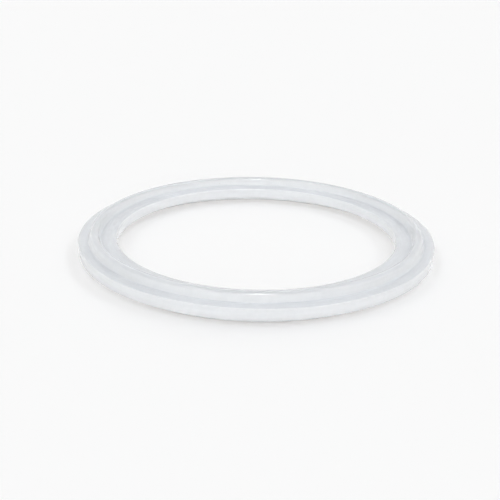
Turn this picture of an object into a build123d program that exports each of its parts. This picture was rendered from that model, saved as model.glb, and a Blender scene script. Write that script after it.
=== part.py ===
from build123d import *
from math import cos, radians, sin
import os

# Sanitary clamp gasket: one moulded silicone ring for 2.5 inch tube.
# The origin is the centre of the bore on the ring's middle plane, and +Z is the bore's axis.
# All sizes are in millimetres, and angles are in degrees.

# The bead circle is the datum: the grooves of both ferrules run along it
bead_circle_diameter = 70.5

# Sealing bead, the same on both faces: two sloped flanks under a round crest
bead_width = 2.7
bead_rise = 1.85
bead_flank_angle = 22

# Flat ring that carries the beads: the web reaches in to the bore, and the land out to the rim
plate_thickness = 2.4
web_width = 3.3
land_width = 2.1

# Bevel round both mouths of the bore
bore_bevel = 0.3

bead_circle_radius = bead_circle_diameter / 2
bead_inner_foot = bead_circle_radius - bead_width / 2
bead_outer_foot = bead_circle_radius + bead_width / 2
bore_radius = bead_inner_foot - web_width
rim_radius = bead_outer_foot + land_width
face_height = plate_thickness / 2
crest_height = face_height + bead_rise

# The crest's radius is the one that touches both flanks and the crest's height
flank_slope = radians(bead_flank_angle)
crest_radius = (cos(flank_slope) * bead_width / 2 - sin(flank_slope) * bead_rise) / (1 - sin(flank_slope))
crest_reach = crest_radius * cos(flank_slope)
flank_height = crest_height - crest_radius * (1 - sin(flank_slope))


def land_outline():
    """The rim from the middle plane up, then the land in to the bead."""
    return Polyline((rim_radius, 0), (rim_radius, face_height), (bead_outer_foot, face_height))


def bead_outline():
    """The upper bead from its outer foot over the crest to its inner foot."""
    outer_end = (bead_circle_radius + crest_reach, flank_height)
    crest = (bead_circle_radius, crest_height)
    inner_end = (bead_circle_radius - crest_reach, flank_height)
    outer_flank = Line((bead_outer_foot, face_height), outer_end)
    inner_flank = Line(inner_end, (bead_inner_foot, face_height))
    return outer_flank + ThreePointArc(outer_end, crest, inner_end) + inner_flank


def web_outline():
    """The web from the bead in to the bore, then down the bore to the middle plane."""
    return Polyline(
        (bead_inner_foot, face_height),
        (bore_radius + bore_bevel, face_height),
        (bore_radius, face_height - bore_bevel),
        (bore_radius, 0),
    )


def gasket_section():
    """The ring cut through at +X: the upper half and its mirror image, joined on the middle plane."""
    upper_side = land_outline() + bead_outline() + web_outline()
    middle = Line((bore_radius, 0), (rim_radius, 0))
    upper_half = make_face(upper_side + middle)
    return upper_half + mirror(upper_half, about=Plane.XZ)


def gasket():
    """The ring: its section turned once about the bore's axis."""
    return revolve(Plane.XZ * gasket_section(), Axis.Z)


os.makedirs("parts", exist_ok=True)
ring = gasket()
ring.label = "gasket"
export_step(ring, "parts/gasket.step")
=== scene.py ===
import bpy
import math
from mathutils import Matrix, Vector


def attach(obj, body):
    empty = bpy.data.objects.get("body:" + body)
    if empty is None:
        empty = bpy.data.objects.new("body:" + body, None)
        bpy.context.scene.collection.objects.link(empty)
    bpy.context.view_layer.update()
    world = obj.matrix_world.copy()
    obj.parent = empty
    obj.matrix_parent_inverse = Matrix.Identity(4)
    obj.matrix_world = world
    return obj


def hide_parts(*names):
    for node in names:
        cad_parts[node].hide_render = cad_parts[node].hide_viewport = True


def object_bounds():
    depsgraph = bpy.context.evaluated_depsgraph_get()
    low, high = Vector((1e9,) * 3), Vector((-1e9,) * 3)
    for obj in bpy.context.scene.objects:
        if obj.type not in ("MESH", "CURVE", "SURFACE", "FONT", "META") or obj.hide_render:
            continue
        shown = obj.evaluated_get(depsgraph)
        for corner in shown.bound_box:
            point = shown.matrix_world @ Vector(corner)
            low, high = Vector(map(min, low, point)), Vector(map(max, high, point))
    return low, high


MM = 0.001

# How the ring lies in the photograph, in pixels and degrees, and the camera's sensor in millimetres
FRAME_PX = 500
FOCAL_PX = 750.0
RING_CENTRE_PX = (256.2, 235.7)
MM_PER_PX = 0.2229
CAMERA_ELEVATION = 21.05
CAMERA_ROLL = 1.25
SENSOR_MM = 36.0

# Nearest and farthest that the camera sees, in metres
NEAREST = 0.01
FARTHEST = 50.0

# The section as in the solid, in millimetres from the bore's axis and from the middle plane
RIM = 38.7
BORE = 30.6
FACE = 1.2
BEAD_CIRCLE = 35.25
BEAD_HALF_WIDTH = 1.35
BEAD_RISE = 1.85
FLANK = math.radians(22)

# Small radii that the mould leaves, in millimetres
RIM_EDGE = 0.15
BEAD_FOOT = 0.35
BORE_EDGE = 0.3

# How finely the ring is turned
ARC_STEP = math.radians(11)
TURNS = 480
CLOSEST_POINTS = 0.00001

# Colours of the silicone: steep faces have its bluish white, and level faces a greyer colour that is painted
# shade. A face turns from steep to level as the Z of its normal grows through LEVEL.
# Upright faces, where it grows through UPRIGHT, are a little darker, which is painted shade.
STEEP = (0.877, 0.904, 0.943, 1)
LEVEL_FACES_SHADED = (0.739, 0.765, 0.804, 1)
LEVEL = (0.40, 0.95)
UPRIGHT = (0.10, 0.35)
UPRIGHT_PAINTED_SHADE = (0.978, 1.0)

# Patterns in the silicone, with sizes in millimetres and streaks as (length, width)
# A tone is what a pattern multiplies the colour by, and a slice is a place along the noise's fourth axis.
NOISE_RANGE = (0.3, 0.7)
CLOUD = 6.0
CLOUD_DETAIL = 3
CLOUD_SLICE = 0.0
CLOUD_TONE = (0.99, 1.01)
MOTTLE = 0.9
MOTTLE_DETAIL = 2
MOTTLE_SLICE = 3.0
MOTTLE_TONE = (0.98, 1.015)
LONG_STREAK = (9.0, 0.7)
SHORT_STREAK = (3.0, 0.5)
STREAK_TONE = (0.965, 1.03)
SPECK = (0.35, 0.32, 0.30, 1)
SPECK_SIZE = 0.16
SPECK_SPACING = 3.2
SPECK_SHARE = 0.2
SPECK_DEPTH = 0.35

# Surface and inside of the silicone. The two gloss ranges are stretches of one pattern's values.
ROUGHNESS = (0.205, 0.245)
ROUGHNESS_GLOSS = (0.12, 0.38)
COAT = (0.5, 1.0)
COAT_GLOSS = (0.18, 0.28)
COAT_ROUGHNESS = 0.07
REFRACTION = 1.41
BUMP = 0.002
SCATTER = 5.0
CLEARNESS = 0.4

# Share of the light that passes the surface on its way to the floor, square on and at a grazing angle
PASSING = (0.76, 0.44)
PASSING_TINT = (1, 0.955, 0.895, 1)

# Light: panels as (azimuth, elevation, strength), lamps as (name, azimuth, elevation, width, share)
PANELS = ((0, 20, 0.42), (180, 22, 0.52), (240, 22, 0.54), (112, 22, 0.54))
PANEL_FALLOFF = 2.0
LAMPS = (
    ("front", 4, 48, 12, 0.155),
    ("front_left", -46, 50, 12, 0.072),
    ("front_right", 66, 48, 12, 0.084),
    ("low_front", 8, 24, 60, 0.046),
    ("low_left", 308, 26, 50, 0.036),
    ("low_right", 55, 26, 50, 0.018),
    ("left", 278, 62, 30, 0.055),
    ("right", 110, 58, 30, 0.068),
)

# Pale surroundings, with the floor's reach in metres
BACKDROP = 0.945
FLOOR = (0.95, 0.95, 0.95, 1)
FLOOR_REACH = 6.0
FLOOR_ROUGHNESS = 0.9

# Places of a Mix node's colour sockets, which have the same names as its number sockets
MIX_FIRST_COLOUR = 6
MIX_SECOND_COLOUR = 7
MIX_COLOUR_RESULT = 2

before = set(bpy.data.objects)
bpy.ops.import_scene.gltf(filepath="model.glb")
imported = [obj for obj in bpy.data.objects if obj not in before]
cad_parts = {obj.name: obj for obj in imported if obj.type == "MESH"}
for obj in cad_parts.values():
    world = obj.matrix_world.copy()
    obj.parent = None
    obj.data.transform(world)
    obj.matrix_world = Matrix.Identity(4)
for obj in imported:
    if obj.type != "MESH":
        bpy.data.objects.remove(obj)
cad_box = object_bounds()


# Camera

def place_camera():
    """A camera that looks down on the ring from the front and has its centre at RING_CENTRE_PX."""
    distance = FOCAL_PX * MM_PER_PX * MM
    elevation = math.radians(CAMERA_ELEVATION)
    place = Vector((0, -distance * math.cos(elevation), distance * math.sin(elevation)))
    forward = -place.normalized()
    right = Vector((1, 0, 0))
    up = right.cross(forward)
    looking_at_centre = Matrix((right, up, -forward)).transposed()
    across = RING_CENTRE_PX[0] - FRAME_PX / 2
    down = RING_CENTRE_PX[1] - FRAME_PX / 2
    to_centre = Vector((across, -down, -FOCAL_PX)).normalized()
    swing = Vector((0, 0, -1)).rotation_difference(to_centre).to_matrix()
    roll = Matrix.Rotation(math.radians(CAMERA_ROLL), 3, "Z")
    turn = looking_at_centre @ roll @ swing.inverted()
    data = bpy.data.cameras.new("camera")
    data.sensor_width = SENSOR_MM
    data.lens = FOCAL_PX / FRAME_PX * SENSOR_MM
    data.clip_start = NEAREST
    data.clip_end = FARTHEST
    camera = bpy.data.objects.new("camera", data)
    camera.matrix_world = Matrix.Translation(place) @ turn.to_4x4()
    bpy.context.scene.collection.objects.link(camera)
    bpy.context.scene.camera = camera


# Ring

def section_corners():
    """Corners of the section as (radius, height, rounding), from the rim over the top and back below."""
    slope = math.sin(FLANK)
    crest_radius = (math.cos(FLANK) * BEAD_HALF_WIDTH - slope * BEAD_RISE) / (1 - slope)
    crest_half = BEAD_HALF_WIDTH - BEAD_RISE * math.tan(FLANK)
    upper = [
        (RIM, FACE, RIM_EDGE),
        (BEAD_CIRCLE + BEAD_HALF_WIDTH, FACE, BEAD_FOOT),
        (BEAD_CIRCLE + crest_half, FACE + BEAD_RISE, crest_radius),
        (BEAD_CIRCLE - crest_half, FACE + BEAD_RISE, crest_radius),
        (BEAD_CIRCLE - BEAD_HALF_WIDTH, FACE, BEAD_FOOT),
        (BORE, FACE, BORE_EDGE),
    ]
    lower = [(radius, -height, rounding) for radius, height, rounding in reversed(upper)]
    return upper + lower


def rounded(corners, step):
    """The closed outline through these corners, with each one turned into an arc of its own radius."""
    outline = []
    for i, (x, y, radius) in enumerate(corners):
        here = Vector((x, y))
        before = (Vector(corners[i - 1][:2]) - here).normalized()
        after = (Vector(corners[(i + 1) % len(corners)][:2]) - here).normalized()
        half = math.acos(before.dot(after)) / 2
        centre = here + (before + after).normalized() * radius / math.sin(half)
        start = here + before * radius / math.tan(half) - centre
        sweep = math.pi - 2 * half
        if before.cross(after) > 0:
            sweep = -sweep
        parts = max(2, round(abs(sweep) / step))
        for k in range(parts + 1):
            point = centre + Matrix.Rotation(sweep * k / parts, 2) @ start
            if not outline or (point - outline[-1]).length > CLOSEST_POINTS:
                outline.append(point)
    return outline


def turned(name, outline, turns):
    """A closed ring: the outline, in millimetres, turned about the Z axis."""
    count = len(outline)
    vertices = []
    for k in range(turns):
        angle = 2 * math.pi * k / turns
        across = math.cos(angle) * MM
        along = math.sin(angle) * MM
        vertices += [(point.x * across, point.x * along, point.y * MM) for point in outline]
    faces = []
    for k in range(turns):
        here = k * count
        there = (k + 1) % turns * count
        for i in range(count):
            j = (i + 1) % count
            faces.append((here + j, here + i, there + i, there + j))
    mesh = bpy.data.meshes.new(name)
    mesh.from_pydata(vertices, [], faces)
    mesh.polygons.foreach_set("use_smooth", [True] * len(faces))
    ring = bpy.data.objects.new(name, mesh)
    bpy.context.scene.collection.objects.link(ring)
    return ring


def make_ring():
    ring = turned("silicone_ring", rounded(section_corners(), ARC_STEP), TURNS)
    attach(ring, "root")
    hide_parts("gasket")
    ring.data.materials.append(silicone())


# Node helpers

def new_material(name):
    material = bpy.data.materials.new(name)
    material.use_nodes = True
    tree = material.node_tree
    return material, tree, tree.nodes["Principled BSDF"]


def feed(tree, source, socket):
    """Links an output to a socket, or writes a value there."""
    if isinstance(source, bpy.types.NodeSocket):
        tree.links.new(source, socket)
    else:
        socket.default_value = source


def work_out(tree, operation, *values):
    node = tree.nodes.new("ShaderNodeMath")
    node.operation = operation
    for value, socket in zip(values, node.inputs):
        feed(tree, value, socket)
    return node.outputs["Value"]


def work_out_vector(tree, operation, output, *values):
    node = tree.nodes.new("ShaderNodeVectorMath")
    node.operation = operation
    for value, socket in zip(values, node.inputs):
        feed(tree, value, socket)
    return node.outputs[output]


def scaled(tree, vector, factor):
    node = tree.nodes.new("ShaderNodeVectorMath")
    node.operation = "SCALE"
    feed(tree, vector, node.inputs["Vector"])
    feed(tree, factor, node.inputs["Scale"])
    return node.outputs["Vector"]


def apart(tree, vector):
    """The X, Y and Z of a vector."""
    node = tree.nodes.new("ShaderNodeSeparateXYZ")
    feed(tree, vector, node.inputs["Vector"])
    return node.outputs


def ramp(tree, value, old, new, smooth=False):
    """The value with the range `old` spread over the range `new`."""
    node = tree.nodes.new("ShaderNodeMapRange")
    node.interpolation_type = "SMOOTHSTEP" if smooth else "LINEAR"
    for source, name in zip((value, *old, *new), ("Value", "From Min", "From Max", "To Min", "To Max")):
        feed(tree, source, node.inputs[name])
    return node.outputs["Result"]


def blend(tree, share, first, second):
    """The first colour where the share is 0 and the second where it is 1."""
    node = tree.nodes.new("ShaderNodeMix")
    node.data_type = "RGBA"
    feed(tree, share, node.inputs["Factor"])
    feed(tree, first, node.inputs[MIX_FIRST_COLOUR])
    feed(tree, second, node.inputs[MIX_SECOND_COLOUR])
    return node.outputs[MIX_COLOUR_RESULT]


# Patterns

def noise(tree, place, fourth, grain, detail):
    """Cloudy noise, where `grain` is the size of a cloud in metres, or one unit of `place` where it is 1."""
    node = tree.nodes.new("ShaderNodeTexNoise")
    node.noise_dimensions = "4D"
    feed(tree, place, node.inputs["Vector"])
    feed(tree, fourth, node.inputs["W"])
    node.inputs["Scale"].default_value = 1 / grain
    node.inputs["Detail"].default_value = detail
    return node.outputs["Fac"]


def streaks(tree, place, length, width):
    """Noise drawn out around the ring: each streak is about this long and wide, in millimetres."""
    level = work_out_vector(tree, "MULTIPLY", "Vector", place, (1, 1, 0))
    around = work_out_vector(tree, "NORMALIZE", "Vector", level)
    around = work_out_vector(tree, "MULTIPLY", "Vector", around, (BEAD_CIRCLE / length,) * 3)
    out = work_out_vector(tree, "LENGTH", "Value", level)
    across = tree.nodes.new("ShaderNodeCombineXYZ")
    feed(tree, work_out(tree, "DIVIDE", out, width * MM), across.inputs["Z"])
    spot = work_out_vector(tree, "ADD", "Vector", around, across.outputs["Vector"])
    height = work_out(tree, "DIVIDE", apart(tree, place)["Z"], width * MM)
    return noise(tree, spot, height, grain=1, detail=1)


def specks(tree, place):
    """1 in a few small specks and 0 elsewhere."""
    node = tree.nodes.new("ShaderNodeTexVoronoi")
    feed(tree, place, node.inputs["Vector"])
    node.inputs["Scale"].default_value = 1 / (SPECK_SPACING * MM)
    random = tree.nodes.new("ShaderNodeSeparateColor")
    feed(tree, node.outputs["Color"], random.inputs["Color"])
    edge = SPECK_SIZE / SPECK_SPACING
    small = ramp(tree, node.outputs["Distance"], (edge, edge / 2), (0, 1))
    few = work_out(tree, "GREATER_THAN", random.outputs["Red"], 1 - SPECK_SHARE)
    return work_out(tree, "MULTIPLY", small, few)


# Silicone

def silicone():
    """Milky silicone: light goes in and comes out elsewhere, and some of it passes through to the floor."""
    material, tree, shader = new_material("silicone")
    where = tree.nodes.new("ShaderNodeTexCoord").outputs
    place = where["Object"]
    mottle = noise(tree, place, MOTTLE_SLICE, MOTTLE * MM, MOTTLE_DETAIL)
    long_streaks = streaks(tree, place, *LONG_STREAK)
    short_streaks = streaks(tree, place, *SHORT_STREAK)

    upward = work_out(tree, "ABSOLUTE", apart(tree, where["Normal"])["Z"])
    colour = milky_colour_and_painted_shade(tree, place, upward, long_streaks, mottle)
    feed(tree, colour, shader.inputs["Base Color"])
    feed(tree, shallow_bump(tree, mottle, short_streaks), shader.inputs["Normal"])

    gloss = work_out(tree, "MULTIPLY", long_streaks, short_streaks)
    feed(tree, ramp(tree, gloss, ROUGHNESS_GLOSS, ROUGHNESS), shader.inputs["Roughness"])
    feed(tree, ramp(tree, gloss, COAT_GLOSS, COAT), shader.inputs["Coat Weight"])
    shader.inputs["Coat Roughness"].default_value = COAT_ROUGHNESS
    shader.inputs["Coat IOR"].default_value = REFRACTION
    shader.inputs["IOR"].default_value = REFRACTION

    shader.inputs["Subsurface Weight"].default_value = 1.0
    shader.inputs["Subsurface Radius"].default_value = (1, 1, 1)
    shader.inputs["Subsurface Scale"].default_value = SCATTER * MM
    shader.inputs["Transmission Weight"].default_value = CLEARNESS
    feed(tree, let_shadow_through(tree, shader), tree.nodes["Material Output"].inputs["Surface"])
    return material


def milky_colour_and_painted_shade(tree, place, upward, long_streaks, mottle):
    """A bluish white with painted shade, greyer on level faces and a little darker on upright ones, with
    soft clouds, streaks, mottle and a few dark specks.
    """
    clouds = noise(tree, place, CLOUD_SLICE, CLOUD * MM, CLOUD_DETAIL)
    # Painted shade: upright faces a little darker, then random tone from clouds, streaks and mottle
    shade_and_tone = ramp(tree, upward, UPRIGHT, UPRIGHT_PAINTED_SHADE)
    for pattern, new in ((clouds, CLOUD_TONE), (long_streaks, STREAK_TONE), (mottle, MOTTLE_TONE)):
        shade_and_tone = work_out(tree, "MULTIPLY", shade_and_tone, ramp(tree, pattern, NOISE_RANGE, new))
    # Painted shade: level faces blend to the greyer colour
    colour = blend(tree, ramp(tree, upward, LEVEL, (0, 1), smooth=True), STEEP, LEVEL_FACES_SHADED)
    speck_share = work_out(tree, "MULTIPLY", specks(tree, place), SPECK_DEPTH)
    return blend(tree, speck_share, scaled(tree, colour, shade_and_tone), SPECK)


def shallow_bump(tree, mottle, short_streaks):
    bump = tree.nodes.new("ShaderNodeBump")
    bump.inputs["Strength"].default_value = 1.0
    bump.inputs["Distance"].default_value = BUMP * MM
    feed(tree, work_out(tree, "ADD", mottle, short_streaks), bump.inputs["Height"])
    return bump.outputs["Normal"]


def let_shadow_through(tree, shader):
    """Lets part of the light on its way to the floor pass: most where it falls square on the surface."""
    path = tree.nodes.new("ShaderNodeLightPath").outputs
    edge = tree.nodes.new("ShaderNodeLayerWeight")
    edge.inputs["Blend"].default_value = 0.5
    passing = ramp(tree, edge.outputs["Facing"], (0, 1), PASSING)
    clear = tree.nodes.new("ShaderNodeBsdfTransparent")
    clear.inputs["Color"].default_value = PASSING_TINT
    mix = tree.nodes.new("ShaderNodeMixShader")
    share, whole, passed = mix.inputs
    feed(tree, work_out(tree, "MULTIPLY", path["Is Shadow Ray"], passing), share)
    feed(tree, shader.outputs["BSDF"], whole)
    feed(tree, clear.outputs["BSDF"], passed)
    return mix.outputs["Shader"]


# Studio

def make_floor():
    mesh = bpy.data.meshes.new("floor")
    corners = [(x * FLOOR_REACH, y * FLOOR_REACH, 0) for x, y in ((-1, -1), (1, -1), (1, 1), (-1, 1))]
    mesh.from_pydata(corners, [], [(0, 1, 2, 3)])
    floor = bpy.data.objects.new("floor", mesh)
    floor.location.z = cad_box[0].z
    bpy.context.scene.collection.objects.link(floor)
    material, _, shader = new_material("floor")
    shader.inputs["Base Color"].default_value = FLOOR
    shader.inputs["Roughness"].default_value = FLOOR_ROUGHNESS
    shader.inputs["Specular IOR Level"].default_value = 0.0
    mesh.materials.append(material)


def direction(azimuth, elevation):
    """Towards a place in the sky. Azimuth 0 is the camera's side and 90 the right."""
    azimuth = math.radians(azimuth)
    elevation = math.radians(elevation)
    level = math.cos(elevation)
    return Vector((math.sin(azimuth) * level, -math.cos(azimuth) * level, math.sin(elevation)))


def make_sky():
    """White panels round the ring, each a wide soft patch, in front of a plain pale backdrop.

    The panels give light but aren't seen. The backdrop is what the camera sees, what the ring mirrors and
    what shows through it.
    """
    world = bpy.data.worlds.new("studio")
    world.use_nodes = True
    tree = world.node_tree
    where = tree.nodes.new("ShaderNodeTexCoord").outputs["Generated"]
    light = 0.0
    for azimuth, elevation, strength in PANELS:
        towards = work_out_vector(tree, "DOT_PRODUCT", "Value", where, direction(azimuth, elevation))
        patch = work_out(tree, "POWER", work_out(tree, "MAXIMUM", towards, 0.0), PANEL_FALLOFF)
        light = work_out(tree, "MULTIPLY_ADD", patch, strength, light)
    path = tree.nodes.new("ShaderNodeLightPath").outputs
    seen = work_out(tree, "MAXIMUM", path["Is Camera Ray"], path["Is Glossy Ray"])
    seen = work_out(tree, "MAXIMUM", seen, path["Is Transmission Ray"])
    change = work_out(tree, "SUBTRACT", BACKDROP, light)
    light = work_out(tree, "MULTIPLY_ADD", seen, change, light)
    background = tree.nodes["Background"]
    background.inputs["Color"].default_value = (1, 1, 1, 1)
    feed(tree, light, background.inputs["Strength"])
    bpy.context.scene.world = world


def add_lamp(name, azimuth, elevation, width, share):
    """A far soft lamp, where share is its light on the open floor."""
    towards = direction(azimuth, elevation)
    data = bpy.data.lights.new(name, "SUN")
    data.angle = math.radians(width)
    data.energy = share * math.pi / towards.z
    lamp = bpy.data.objects.new(name, data)
    lamp.matrix_world = towards.to_track_quat("Z", "Y").to_matrix().to_4x4()
    bpy.context.scene.collection.objects.link(lamp)


bpy.context.scene.view_settings.view_transform = "Standard"
place_camera()
make_floor()
make_sky()
for lamp in LAMPS:
    add_lamp(*lamp)
make_ring()
